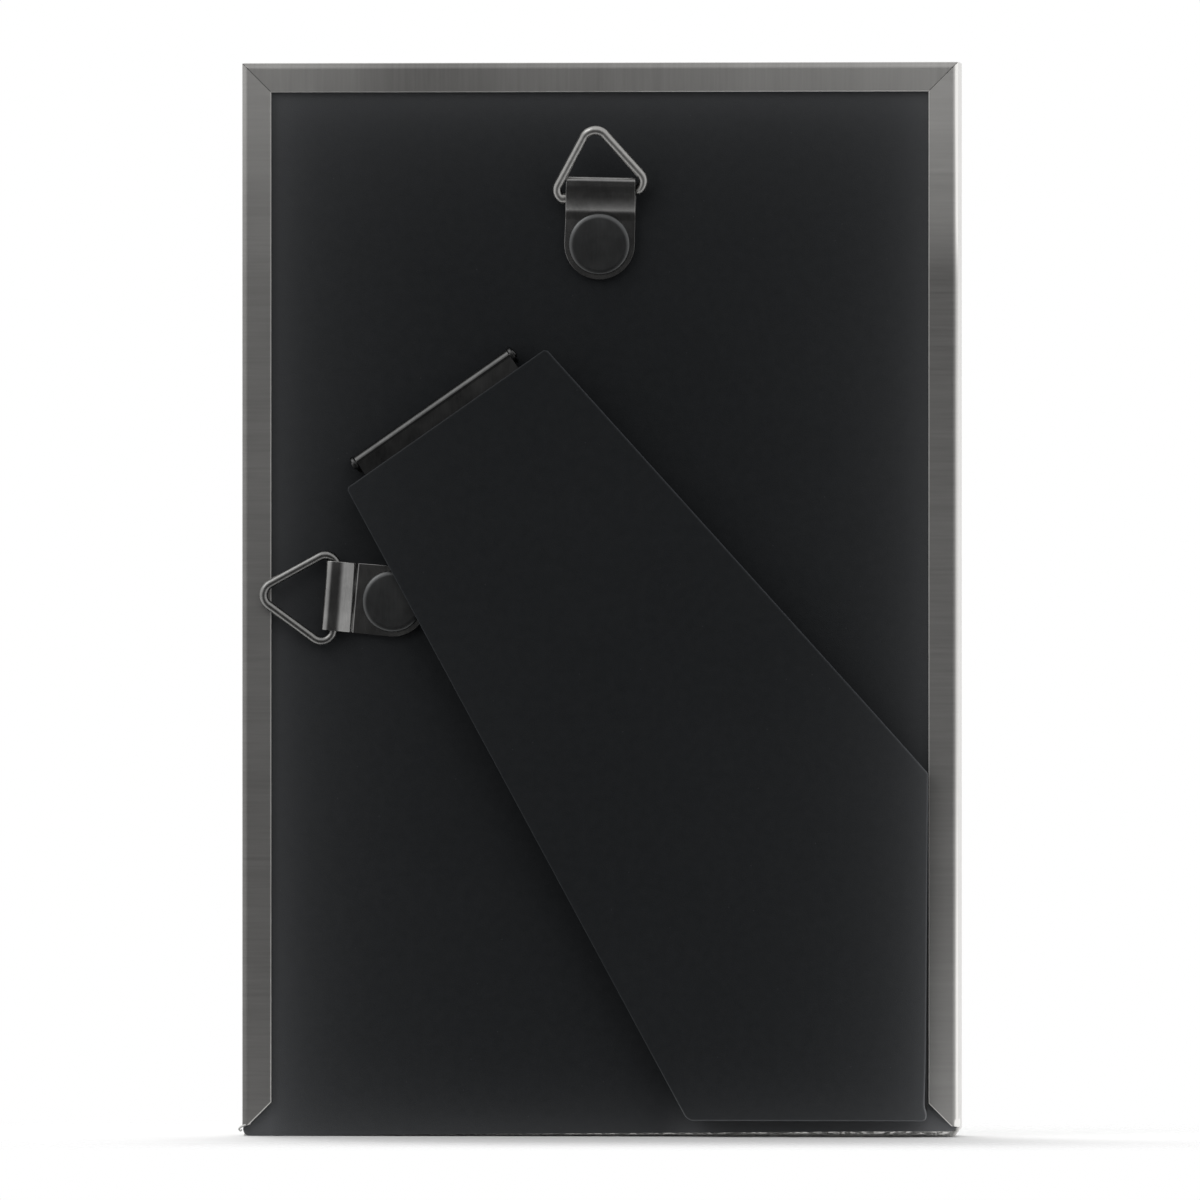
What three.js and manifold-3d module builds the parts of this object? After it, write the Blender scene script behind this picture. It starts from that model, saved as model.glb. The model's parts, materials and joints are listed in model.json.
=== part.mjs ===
import * as THREE from "three";
import { mergeVertices } from "three/addons/utils/BufferGeometryUtils.js";
import Module from "manifold-3d";

// A slim picture frame for a 101.6 x 152.4 mm print, standing upright with its picture side
// towards -Y. Four mitred sheet-metal rails hold the glass, the print and a filler card. A
// cloth-papered back panel slides in from below and carries a hinged easel leg and two
// triangular hanging rings, one for each way up. Millimetres, +Z up.

const toRadians = THREE.MathUtils.degToRad;

// Print, glass and filler
const printWidth = 101.6;
const printHeight = 152.4;
const printThickness = 0.25;
const printSideRoom = 0.3; // from the print to the edge of the glass
const printEndRoom = 0.65; // the same at the top and the bottom
const glassThickness = 2;
const glassClearance = 0.3; // to the rails, all round
const layerGap = 0.05; // between layers that lie on each other

// Rails
const railSheet = 0.6;
const frameWidth = printWidth + 2 * (printSideRoom + glassClearance + railSheet);
const frameHeight = printHeight + 2 * (printEndRoom + glassClearance + railSheet);
const frameDepth = 10.4;
const foldRadius = 0.65; // at mid-thickness
const lipWidth = 4.2; // in front of the glass
const flangeWidth = 4.3; // behind the back panel
const mitreGap = 0.1;
const flangeFootRise = 0.6; // the side flanges stop this far above the corner mitre

// Back panel
const panelClearance = 0.25; // to the side walls and to the rear flanges
const panelTopClearance = 0.4;
const panelFootHigh = 0.9; // foot of the panel above the floor at -X
const panelFootLow = 0.15; // the same at +X: the panel is trimmed a little out of square
const panelCoverThickness = 0.3;
const panelBoardThickness = 2;
const panelTurnIn = 9; // how far the covering is folded round onto the inside
const panelLinerThickness = 0.2;
const panelLinerMargin = 4;
const panelSlideGap = 0.15; // to the filler card and to the bottom wall
const panelPocketDepth = 0.9; // sunk into the inside of the board for rivets and hinge
const panelTopRadius = 0.7;
const panelFootRadiusHigh = 0.8;
const panelFootRadiusLow = 1.1;

// Easel leg
const legStandOff = 2; // from the back panel to the inside of the leg
const legCoverThickness = 0.25;
const legBoardThickness = 1.75;
const legLinerThickness = 0.2;
const legTopDrop = 2.25; // from the hinge line down to the top edge of the leg
const legTopNear = 16.8; // from the middle of the hinge to the top corner at +X
const legTopFar = 18.4; // and to the other top corner
const legFlareNear = toRadians(6.5);
const legFlareFar = toRadians(7.2);
const legFoot = 2.4; // the portrait foot above the floor
const legSideInset = 4.1; // the landscape foot from the side of the frame
const legCornerRadius = 0.9;
const legTopRadius = 0.5;

// Hinge of the leg
const hingeSideInset = 28; // the middle of the hinge from the side of the frame
const hingeTopDrop = 50.2; // and from the top
const hingeTilt = toRadians(34.9); // of the hinge line against the horizontal
const hingeLength = 28.2; // over the ears
const hingeSheet = 0.45;
const hingeBoreRadius = 0.55;
const hingePinRadius = 0.45;
const hingePinHead = 0.35;
const hingePinHeadRadius = 0.8;
const hingeEndPlay = 0.15;
const hingeLeafLength = 13;
const hingePlateLength = 34;
const hingePlateWidth = 9;
const hingeEarWidth = 2.4;
const hingeSlotClearance = 0.2;
const leafRivetSpacing = 16;
const leafRivetDrop = 9;
const leafRivetRadius = 0.9;
const leafRivetHeadRadius = 1.5;
const leafRivetHead = 0.35;

// Hangers
const strapSheet = 0.45;
const strapWidth = 10.2;
const strapFoldWidth = 9.85; // it narrows a little towards the fold
const strapReach = 9.9; // from the rivet to the outside of the fold
const loopHeight = 2.7; // outside, above the panel
const loopFlatEnd = 6.6; // where the loop starts to slope down to the panel
const loopFootGap = 0.25; // from the foot of that slope to the rivet head
const strapBend = 0.5;
const rivetRadius = 1.5;
const rivetHeadRadius = 4.43;
const rivetHeadHeight = 0.8;
const rivetHeadBevel = 0.45;
const rivetTailRadius = 2.6;
const rivetTailHeight = 0.4;
const rivetClearance = 0.1;
const washerRadius = 4;
const washerThickness = 0.35;
const ringWire = 1.25;
const ringHalfBase = 7.69; // of the triangle that the wire follows, before its corners are rounded
const ringHeight = 12.02;
const ringBaseRadius = 1.75;
const ringApexRadius = 1.85;
const ringButtGap = 0.3; // between the two ends of the wire, inside the strap
const ringSeat = 0.1; // between the wire and the sheet that it lies on

const overrun = 1; // how far a cutting shape reaches past what it cuts

const topHangerDrop = 26.3; // the rivet from the top of the frame
const sideHangerInset = 22; // the rivet from the side of the frame
const sideHangerDrop = 0.25; // and below the middle of the height

const topHanger = {
  x: 0,
  z: frameHeight - topHangerDrop,
  turn: toRadians(-1.3),
  ringSlide: 7.5,
  ringShift: -0.28,
  ringTurn: toRadians(6.3),
  ringLift: toRadians(25),
};
const sideHanger = {
  x: frameWidth / 2 - sideHangerInset,
  z: frameHeight / 2 - sideHangerDrop,
  turn: toRadians(85.5),
  ringSlide: 8.33,
  ringShift: 0.3,
  ringTurn: toRadians(0.7),
  ringLift: toRadians(4),
};

// Facets
const bendSteps = 6; // in a quarter turn
const cornerSteps = 5;
const roundSteps = 32;
const pinSteps = 16;
const wireSides = 5; // half the sides of the wire
const wireSteps = 66;

// Depths, from the picture side
const panelBack = frameDepth - railSheet - panelClearance;
const boardBack = panelBack - panelCoverThickness;
const boardFront = boardBack - panelBoardThickness;
const turnInFront = boardFront - panelCoverThickness;
const linerFront = turnInFront - panelLinerThickness;
const glassFront = railSheet + layerGap;
const printFront = glassFront + glassThickness + layerGap;
const fillerFront = printFront + printThickness + layerGap;
const stackBack = linerFront - panelSlideGap;
const pocketFloor = boardFront + panelPocketDepth;
const legFront = panelBack + legStandOff;
const legBoardFront = legFront + legLinerThickness;
const legBoardBack = legBoardFront + legBoardThickness;
const legBack = legBoardBack + legCoverThickness;

// Places seen from the back
const legSide = frameWidth / 2 - legSideInset;
const hingeX = frameWidth / 2 - hingeSideInset;
const hingeY = legBoardFront - hingeBoreRadius;
const hingeZ = frameHeight - hingeTopDrop;

const wasm = await Module();
wasm.setup();

function solidOf(geometry) {
  const bare = geometry.clone();
  bare.deleteAttribute("normal");
  bare.deleteAttribute("uv");
  const merged = mergeVertices(bare, 1e-4);
  return new wasm.Manifold(
    new wasm.Mesh({
      numProp: 3,
      vertProperties: merged.attributes.position.array,
      triVerts: new Uint32Array(merged.index.array),
    }),
  );
}

function geometryOf(solid) {
  const mesh = solid.getMesh();
  const geometry = new THREE.BufferGeometry();
  geometry.setAttribute("position", new THREE.BufferAttribute(mesh.vertProperties, 3));
  geometry.setIndex(new THREE.BufferAttribute(mesh.triVerts, 1));
  return geometry;
}

function cut(geometry, ...tools) {
  const rest = tools.reduce((solid, tool) => solid.subtract(solidOf(tool)), solidOf(geometry));
  return geometryOf(rest);
}

function join(geometry, ...others) {
  const whole = others.reduce((solid, other) => solid.add(solidOf(other)), solidOf(geometry));
  return geometryOf(whole);
}

function common(geometry, other) {
  return geometryOf(solidOf(geometry).intersect(solidOf(other)));
}

// A flat outline in X and Z, from one depth to another.
function plate(shape, front, back) {
  const geometry = new THREE.ExtrudeGeometry(shape, {
    depth: back - front,
    bevelEnabled: false,
    curveSegments: cornerSteps,
  });
  geometry.rotateX(Math.PI / 2);
  geometry.translate(0, back, 0);
  return geometry;
}

// A profile in Y and Z, run along X and centred on x = 0.
const profileToRun = new THREE.Matrix4().makeBasis(
  new THREE.Vector3(0, 1, 0),
  new THREE.Vector3(0, 0, 1),
  new THREE.Vector3(1, 0, 0),
);

function run(shape, length, curveSegments = cornerSteps) {
  const geometry = new THREE.ExtrudeGeometry(shape, {
    depth: length,
    bevelEnabled: false,
    curveSegments,
  });
  geometry.translate(0, 0, -length / 2);
  geometry.applyMatrix4(profileToRun);
  return geometry;
}

// A disc or drum whose axis lies along Y.
function drum(radius, front, back, steps = roundSteps) {
  const geometry = new THREE.CylinderGeometry(radius, radius, back - front, steps);
  geometry.translate(0, (front + back) / 2, 0);
  return geometry;
}

function slab(left, right, front, back, low, high) {
  const geometry = new THREE.BoxGeometry(right - left, back - front, high - low);
  geometry.translate((left + right) / 2, (front + back) / 2, (low + high) / 2);
  return geometry;
}

// Corners [x, z, radius], anticlockwise, as a closed outline drawn in by inset on every side.
function outline(corners, inset = 0) {
  const points = corners.map(([x, z]) => new THREE.Vector2(x, z));
  const count = points.length;
  const along = points.map((point, i) => points[(i + 1) % count].clone().sub(point).normalize());
  const inward = along.map((way) => new THREE.Vector2(-way.y, way.x));
  const shape = new THREE.Shape();
  points.forEach((point, i) => {
    const before = (i + count - 1) % count;
    const bisector = inward[before].clone().add(inward[i]);
    bisector.divideScalar(1 + inward[before].dot(inward[i]));
    const corner = point.clone().addScaledVector(bisector, inset);
    const radius = Math.max(corners[i][2] - inset, 0.1);
    const centre = corner.clone().addScaledVector(bisector, radius);
    const from = inward[before].angle() + Math.PI;
    const to = inward[i].angle() + Math.PI;
    shape.absarc(centre.x, centre.y, radius, from, to, false);
  });
  return shape;
}

// The section of a sheet bent along corners [depth, height, bend radius], all at mid-thickness.
function bentSheet(corners, thickness) {
  const points = corners.map(([y, z]) => new THREE.Vector2(y, z));
  const left = [];
  const right = [];
  const place = (point, side) => {
    left.push(point.clone().addScaledVector(side, thickness / 2));
    right.unshift(point.clone().addScaledVector(side, -thickness / 2));
  };
  points.forEach((point, i) => {
    const last = i === points.length - 1;
    const leaving = points[last ? i : i + 1].clone().sub(points[last ? i - 1 : i]).normalize();
    const arriving = i === 0 ? leaving : point.clone().sub(points[i - 1]).normalize();
    const side = new THREE.Vector2(-arriving.y, arriving.x);
    const turn = Math.atan2(arriving.cross(leaving), arriving.dot(leaving));
    if (Math.abs(turn) < 1e-6) {
      place(point, side);
      return;
    }
    const radius = corners[i][2];
    const start = point.clone().addScaledVector(arriving, -radius * Math.tan(Math.abs(turn) / 2));
    const centre = start.clone().addScaledVector(side, Math.sign(turn) * radius);
    const steps = Math.max(2, Math.round((Math.abs(turn) / (Math.PI / 2)) * bendSteps));
    for (let step = 0; step <= steps; step += 1) {
      const spoke = side.clone().rotateAround(new THREE.Vector2(), (turn * step) / steps);
      place(centre.clone().addScaledVector(spoke, -Math.sign(turn) * radius), spoke);
    }
  });
  return new THREE.Shape([...left, ...right]);
}

const finish = (color, roughness, metalness) =>
  new THREE.MeshStandardMaterial({ color, roughness, metalness, flatShading: true });

const pewter = finish(0x8d8b86, 0.35, 1);
const brightSteel = finish(0xb4b3ae, 0.22, 1);
const darkNickel = finish(0x4a4b4d, 0.2, 1);
const flock = finish(0x232427, 0.95, 0);
const lining = finish(0x2b2b2d, 0.9, 0);
const greyBoard = finish(0x8f8a80, 0.9, 0);
const clearGlass = finish(0xd7e2df, 0.05, 0);
const printPaper = finish(0xf2f0ea, 0.6, 0);
const brownCard = finish(0xa98c66, 0.9, 0);

const assembly = new THREE.Group();

function piece(name, geometry, material, parent = assembly) {
  const mesh = new THREE.Mesh(geometry, material);
  mesh.name = name;
  parent.add(mesh);
  return mesh;
}

// A rail lies along the bottom of the frame, centred on the frame's middle, before it is turned.
function rail(length, reach, turn, hasFlange) {
  const skin = railSheet / 2;
  const front = [skin, lipWidth - reach, 0];
  const frontFold = [skin, skin - reach, foldRadius];
  const section = hasFlange
    ? [
        front,
        frontFold,
        [frameDepth - skin, skin - reach, foldRadius],
        [frameDepth - skin, flangeWidth - reach, 0],
      ]
    : [front, frontFold, [stackBack, skin - reach, 0]];
  const half = length / 2 - mitreGap / Math.SQRT2;
  const depth = Math.max(lipWidth, flangeWidth) + railSheet;
  const mitre = new THREE.Shape([
    new THREE.Vector2(-half, -reach),
    new THREE.Vector2(half, -reach),
    new THREE.Vector2(half - depth, depth - reach),
    new THREE.Vector2(depth - half, depth - reach),
  ]);
  const blank = run(bentSheet(section, railSheet), length);
  const geometry = common(blank, plate(mitre, -overrun, frameDepth + overrun));
  geometry.rotateY(turn);
  geometry.translate(0, 0, frameHeight / 2);
  return geometry;
}

// Below this the rear half of the side rails is cut away, so that the panel can slide out.
function flangeFootCut() {
  const half = frameWidth / 2;
  const reach = flangeWidth + railSheet;
  const shape = new THREE.Shape([
    new THREE.Vector2(-half - overrun, flangeFootRise - overrun),
    new THREE.Vector2(-half - overrun, -2 * overrun),
    new THREE.Vector2(half + overrun, -2 * overrun),
    new THREE.Vector2(half + overrun, flangeFootRise - overrun),
    new THREE.Vector2(half - reach, flangeFootRise + reach),
    new THREE.Vector2(reach - half, flangeFootRise + reach),
  ]);
  return plate(shape, stackBack, frameDepth + overrun);
}

function makeRails() {
  const halfWidth = frameWidth / 2;
  const halfHeight = frameHeight / 2;
  const quarter = Math.PI / 2;
  piece("rail_bottom", rail(frameWidth, halfHeight, 0, false), pewter);
  piece("rail_top", rail(frameWidth, halfHeight, 2 * quarter, true), pewter);
  const sides = [
    ["rail_left", quarter],
    ["rail_right", -quarter],
  ];
  for (const [name, turn] of sides) {
    piece(name, cut(rail(frameHeight, halfWidth, turn, true), flangeFootCut()), pewter);
  }
}

function makeStack() {
  const halfWidth = printWidth / 2 + printSideRoom;
  const low = railSheet + glassClearance;
  const high = frameHeight - railSheet - glassClearance;
  const glassBack = glassFront + glassThickness;
  const printLow = low + printEndRoom;
  const printBack = printFront + printThickness;
  piece("glass_pane", slab(-halfWidth, halfWidth, glassFront, glassBack, low, high), clearGlass);
  piece(
    "photo_insert",
    slab(-printWidth / 2, printWidth / 2, printFront, printBack, printLow, printLow + printHeight),
    printPaper,
  );
  piece("filler_card", slab(-halfWidth, halfWidth, fillerFront, stackBack, low, high), brownCard);
}

const hingePlace = new THREE.Matrix4().makeRotationY(hingeTilt).setPosition(hingeX, hingeY, hingeZ);

const atHinge = (geometry) => geometry.applyMatrix4(hingePlace);

// The slots that the hinge ears pass through, in the hinge's own axes.
function earSlots() {
  const middle = (hingeLength - hingeSheet) / 2;
  const halfThick = hingeSheet / 2 + hingeSlotClearance;
  const halfWide = hingeEarWidth / 2 + hingeSlotClearance;
  const low = pocketFloor - overrun - hingeY;
  const high = panelBack + overrun - hingeY;
  return [-middle, middle].map((x) =>
    atHinge(slab(x - halfThick, x + halfThick, low, high, -halfWide, halfWide)),
  );
}

function rivetHole(hanger) {
  const front = linerFront - overrun;
  const hole = drum(rivetRadius + rivetClearance, front, panelBack + overrun, pinSteps);
  return hole.translate(hanger.x, 0, hanger.z);
}

function rivetPocket(hanger) {
  const pocket = drum(washerRadius + hingeSlotClearance, boardFront - overrun, pocketFloor);
  return pocket.translate(hanger.x, 0, hanger.z);
}

function hingePocket() {
  const halfLength = hingePlateLength / 2 + hingeSlotClearance;
  const halfWidth = hingePlateWidth / 2 + hingeSlotClearance;
  const low = boardFront - overrun - hingeY;
  const high = pocketFloor - hingeY;
  return atHinge(slab(-halfLength, halfLength, low, high, -halfWidth, halfWidth));
}

function makePanel() {
  const half = frameWidth / 2 - railSheet - panelClearance;
  const top = frameHeight - railSheet - panelTopClearance;
  const corners = [
    [-half, panelFootHigh, panelFootRadiusHigh],
    [half, panelFootLow, panelFootRadiusLow],
    [half, top, panelTopRadius],
    [-half, top, panelTopRadius],
  ];
  const holes = [rivetHole(topHanger), rivetHole(sideHanger), ...earSlots()];
  const room = plate(outline(corners, panelCoverThickness), boardFront, boardBack);
  const turnIn = outline(corners, panelTurnIn);
  const window = plate(turnIn, turnInFront - overrun, boardFront + overrun);
  const skin = plate(outline(corners), turnInFront, panelBack);
  piece("backing_cover", cut(skin, room, window, ...holes), flock);
  const board = plate(outline(corners, panelCoverThickness), boardFront, boardBack);
  const pockets = [rivetPocket(topHanger), rivetPocket(sideHanger), hingePocket()];
  piece("backing_board", cut(board, ...holes, ...pockets), greyBoard);
  const liner = plate(outline(corners, panelLinerMargin), linerFront, turnInFront);
  piece("backing_liner", liner, lining);
}

function legCorners() {
  const place = (x, z) =>
    new THREE.Vector2(
      hingeX + x * Math.cos(hingeTilt) + z * Math.sin(hingeTilt),
      hingeZ - x * Math.sin(hingeTilt) + z * Math.cos(hingeTilt),
    );
  const near = place(legTopNear, -legTopDrop);
  const far = place(-legTopFar, -legTopDrop);
  const nearSlope = hingeTilt - legFlareNear; // of each long edge against the vertical
  const farSlope = hingeTilt + legFlareFar;
  const heel = near.x - (near.y - legFoot) * Math.tan(nearSlope);
  const shoulder = far.y - (far.x + legSide) / Math.tan(farSlope);
  return [
    [heel, legFoot, legCornerRadius],
    [near.x, near.y, legTopRadius],
    [far.x, far.y, legTopRadius],
    [-legSide, shoulder, legTopRadius],
    [-legSide, legFoot, legCornerRadius],
  ];
}

const leafRivetPlaces = [-leafRivetSpacing / 2, leafRivetSpacing / 2];

function makeLeg() {
  const corners = legCorners();
  const leg = new THREE.Group();
  assembly.add(leg);
  const skin = plate(outline(corners), legFront, legBack);
  const room = plate(outline(corners, legCoverThickness), legFront - overrun, legBoardBack);
  const leafHalf = hingeLength / 2 - hingeSheet - hingeEndPlay;
  const leafRoom = atHinge(
    slab(
      -leafHalf - hingeSlotClearance,
      leafHalf + hingeSlotClearance,
      legBoardFront - overrun - hingeY,
      hingeBoreRadius + hingeSheet + layerGap,
      -hingeLeafLength - hingeSlotClearance,
      0,
    ),
  );
  piece("leg_cover", cut(skin, room, leafRoom), flock, leg);

  const shanks = leafRivetPlaces.map((x) => {
    const hole = drum(leafRivetRadius + rivetClearance, 0, legBack - hingeY, pinSteps);
    return atHinge(hole.translate(x, 0, -leafRivetDrop));
  });
  const tails = leafRivetPlaces.map((x) => {
    const low = legBoardBack - leafRivetHead - layerGap - hingeY;
    const recess = drum(leafRivetHeadRadius + rivetClearance, low, legBack - hingeY, pinSteps);
    return atHinge(recess.translate(x, 0, -leafRivetDrop));
  });
  const heads = leafRivetPlaces.map((x) => {
    const hole = drum(leafRivetHeadRadius + rivetClearance, -overrun, overrun, pinSteps);
    return atHinge(hole.translate(x, 0, -leafRivetDrop));
  });
  const core = plate(outline(corners, legCoverThickness), legBoardFront, legBoardBack);
  piece("leg_board", cut(core, leafRoom, ...shanks, ...tails), greyBoard, leg);
  const liner = plate(outline(corners, legCoverThickness + layerGap), legFront, legBoardFront);
  piece("leg_liner", cut(liner, ...heads), lining, leg);
}

// The leaf runs flat inside the leg and is rolled round the pin above its top edge.
function hingeLeaf() {
  const middle = hingeBoreRadius + hingeSheet / 2;
  const width = hingeLength - 2 * (hingeSheet + hingeEndPlay);
  const section = [
    [middle, -hingeLeafLength, 0],
    [middle, middle, middle],
    [-middle, middle, middle],
    [-middle, -middle, middle],
    [middle / 4, -middle, 0],
  ];
  const holes = leafRivetPlaces.map((x) => {
    const hole = drum(leafRivetRadius + rivetClearance, 0, 2 * middle, pinSteps);
    return hole.translate(x, 0, -leafRivetDrop);
  });
  return cut(run(bentSheet(section, hingeSheet), width), ...holes);
}

// The base lies in a pocket inside the back panel, and its two ears carry the pin.
function hingeBase() {
  const plateBack = pocketFloor - hingeY;
  const plateFront = plateBack - hingeSheet;
  const eye = hingeEarWidth / 2;
  const shape = new THREE.Shape();
  shape.moveTo(plateFront, eye);
  shape.lineTo(plateFront, -eye);
  shape.absarc(0, 0, eye, -Math.PI / 2, Math.PI / 2, false);
  const bore = new THREE.Path();
  bore.absarc(0, 0, hingePinRadius + rivetClearance, 0, 2 * Math.PI, true);
  shape.holes.push(bore);
  const middle = (hingeLength - hingeSheet) / 2;
  const ears = [-middle, middle].map((x) => run(shape, hingeSheet, pinSteps / 2).translate(x, 0, 0));
  const halfLength = hingePlateLength / 2;
  const halfWidth = hingePlateWidth / 2;
  const foot = slab(-halfLength, halfLength, plateFront, plateBack, -halfWidth, halfWidth);
  return join(foot, ...ears);
}

function hingePin() {
  const end = hingeLength / 2;
  const tip = end + hingePinHead;
  const profile = [
    [0, -tip],
    [hingePinHeadRadius * 0.7, -tip],
    [hingePinHeadRadius, -end - hingePinHead * 0.4],
    [hingePinHeadRadius, -end],
    [hingePinRadius, -end],
    [hingePinRadius, end],
    [hingePinHeadRadius, end],
    [hingePinHeadRadius, end + hingePinHead * 0.4],
    [hingePinHeadRadius * 0.7, tip],
    [0, tip],
  ];
  const points = profile.map(([radius, at]) => new THREE.Vector2(radius, at));
  return new THREE.LatheGeometry(points, pinSteps).rotateZ(Math.PI / 2);
}

function leafRivet() {
  const leafFront = hingeBoreRadius;
  const tailBack = legBoardBack - layerGap - hingeY;
  const profile = [
    [0, leafFront - leafRivetHead],
    [leafRivetHeadRadius * 0.75, leafFront - leafRivetHead],
    [leafRivetHeadRadius, leafFront - leafRivetHead / 3],
    [leafRivetHeadRadius, leafFront],
    [leafRivetRadius, leafFront],
    [leafRivetRadius, tailBack - leafRivetHead],
    [leafRivetHeadRadius, tailBack - leafRivetHead],
    [leafRivetHeadRadius, tailBack],
    [0, tailBack],
  ];
  const points = profile.map(([radius, at]) => new THREE.Vector2(radius, at));
  return new THREE.LatheGeometry(points, pinSteps);
}

function makeHinge() {
  const hinge = new THREE.Group();
  hinge.applyMatrix4(hingePlace);
  assembly.add(hinge);
  piece("hinge_leaf", hingeLeaf(), brightSteel, hinge);
  piece("hinge_base", hingeBase(), brightSteel, hinge);
  piece("hinge_pin", hingePin(), brightSteel, hinge);
  leafRivetPlaces.forEach((x, i) => {
    const rivet = piece("leaf_rivet_" + (i + 1), leafRivet(), brightSteel, hinge);
    rivet.position.set(x, 0, -leafRivetDrop);
  });
}

// A strip folded in half round the wire of the ring, with both ends under the rivet.
function strap() {
  const low = strapSheet / 2;
  const upper = low + strapSheet + layerGap / 2;
  const top = loopHeight - low;
  const fold = (top - low) / 2;
  const end = strapReach - low;
  const tail = -strapWidth;
  const section = [
    [low, tail, 0],
    [low, end, fold],
    [top, end, fold],
    [top, loopFlatEnd, strapBend],
    [upper, rivetHeadRadius + loopFootGap, strapBend],
    [upper, tail, 0],
  ];
  const half = strapWidth / 2;
  const plan = new THREE.Shape();
  plan.moveTo(strapFoldWidth / 2, strapReach);
  plan.lineTo(-strapFoldWidth / 2, strapReach);
  plan.absarc(0, 0, half, Math.PI, 2 * Math.PI, false);
  const blank = run(bentSheet(section, strapSheet), strapWidth + overrun);
  const shaped = common(blank, plate(plan, -overrun, loopHeight + overrun));
  const hole = drum(rivetRadius + rivetClearance, -overrun, loopHeight + overrun, pinSteps);
  return cut(shaped, hole);
}

function rivet() {
  const seat = 2 * strapSheet + layerGap / 2;
  const head = seat + rivetHeadHeight;
  const tailBack = pocketFloor - panelBack - washerThickness;
  const tailFront = tailBack - rivetTailHeight;
  const profile = [
    [0, tailFront],
    [rivetTailRadius * 0.8, tailFront],
    [rivetTailRadius, tailBack - rivetTailHeight / 2],
    [rivetTailRadius, tailBack],
    [rivetRadius, tailBack],
    [rivetRadius, seat],
    [rivetHeadRadius, seat],
    [rivetHeadRadius, head - rivetHeadBevel],
    [rivetHeadRadius - rivetHeadBevel, head],
    [0, head],
  ];
  const points = profile.map(([radius, at]) => new THREE.Vector2(radius, at));
  return new THREE.LatheGeometry(points, roundSteps);
}

function washer() {
  const back = pocketFloor - panelBack;
  const front = back - washerThickness;
  return cut(
    drum(washerRadius, front, back),
    drum(rivetRadius + rivetClearance, front - overrun, back + overrun, pinSteps),
  );
}

// The middle of the wire, from one butt end round the triangle to the other, in X and Z.
class RingLine extends THREE.Curve {
  constructor() {
    super();
    const base = Math.atan2(ringHeight, ringHalfBase); // the angle at each base corner
    const baseReach = ringBaseRadius * Math.tan((Math.PI - base) / 2);
    const apexReach = ringApexRadius / Math.cos(base);
    const baseCentre = ringHalfBase - baseReach;
    this.line = new THREE.Path();
    this.line.moveTo(ringButtGap / 2, 0);
    this.line.absarc(baseCentre, ringBaseRadius, ringBaseRadius, -Math.PI / 2, Math.PI / 2 - base, false);
    const apexStart = Math.PI / 2 - base;
    this.line.absarc(0, ringHeight - apexReach, ringApexRadius, apexStart, Math.PI - apexStart, false);
    const lastStart = Math.PI / 2 + base;
    this.line.absarc(-baseCentre, ringBaseRadius, ringBaseRadius, lastStart, 1.5 * Math.PI, false);
    this.line.lineTo(-ringButtGap / 2, 0);
  }

  getPoint(along, target = new THREE.Vector3()) {
    const point = this.line.getPoint(along);
    return target.set(point.x, 0, point.y);
  }
}

function ring() {
  const section = new THREE.Shape();
  section.absarc(0, 0, ringWire / 2, 0, 2 * Math.PI, false);
  return new THREE.ExtrudeGeometry(section, {
    steps: wireSteps,
    curveSegments: wireSides,
    extrudePath: new RingLine(),
  });
}

// Each hanger stands on the panel with its ring towards its own +Z before it is turned.
function makeHanger(prefix, place) {
  const hanger = new THREE.Group();
  hanger.position.set(place.x, panelBack, place.z);
  hanger.rotation.y = place.turn;
  assembly.add(hanger);
  piece(prefix + "_strap", strap(), darkNickel, hanger);
  piece(prefix + "_rivet", rivet(), darkNickel, hanger);
  piece(prefix + "_washer", washer(), brightSteel, hanger);
  const swing = new THREE.Group();
  swing.position.set(place.ringShift, strapSheet + ringSeat + ringWire / 2, place.ringSlide);
  swing.rotation.order = "YXZ";
  swing.rotation.y = place.ringTurn;
  swing.rotation.x = -place.ringLift; // lifts the apex off the panel
  hanger.add(swing);
  piece(prefix + "_ring", ring(), brightSteel, swing);
}

makeRails();
makeStack();
makePanel();
makeLeg();
makeHinge();
makeHanger("top_hanger", topHanger);
makeHanger("side_hanger", sideHanger);

// The origin is under the middle of everything, on the surface that the frame stands on.
const bounds = new THREE.Box3().setFromObject(assembly, true);
assembly.position.y = -(bounds.min.y + bounds.max.y) / 2;

const group = new THREE.Group();
group.add(assembly);

export default group;
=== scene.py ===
import json
import math

import bmesh
import bpy
from mathutils import Matrix, Vector


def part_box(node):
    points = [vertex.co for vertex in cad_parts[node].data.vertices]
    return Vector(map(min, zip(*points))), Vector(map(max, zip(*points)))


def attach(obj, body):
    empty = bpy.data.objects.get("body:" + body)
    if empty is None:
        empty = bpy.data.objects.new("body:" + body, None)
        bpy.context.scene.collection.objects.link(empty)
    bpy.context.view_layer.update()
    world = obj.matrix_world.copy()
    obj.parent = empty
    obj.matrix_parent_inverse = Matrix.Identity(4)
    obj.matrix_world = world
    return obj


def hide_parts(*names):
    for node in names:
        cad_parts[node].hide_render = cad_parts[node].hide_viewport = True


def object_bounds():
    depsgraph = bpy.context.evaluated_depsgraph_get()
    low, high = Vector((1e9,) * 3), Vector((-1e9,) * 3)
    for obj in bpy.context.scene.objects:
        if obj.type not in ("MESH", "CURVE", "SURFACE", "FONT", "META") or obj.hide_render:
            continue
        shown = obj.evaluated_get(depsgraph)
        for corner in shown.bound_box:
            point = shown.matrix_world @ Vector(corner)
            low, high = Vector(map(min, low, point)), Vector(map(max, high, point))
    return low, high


# The back of a slim metal picture frame: brushed rails, a black flocked panel with a slanted
# easel leg, and two folded straps that hold triangular wire rings.

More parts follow.
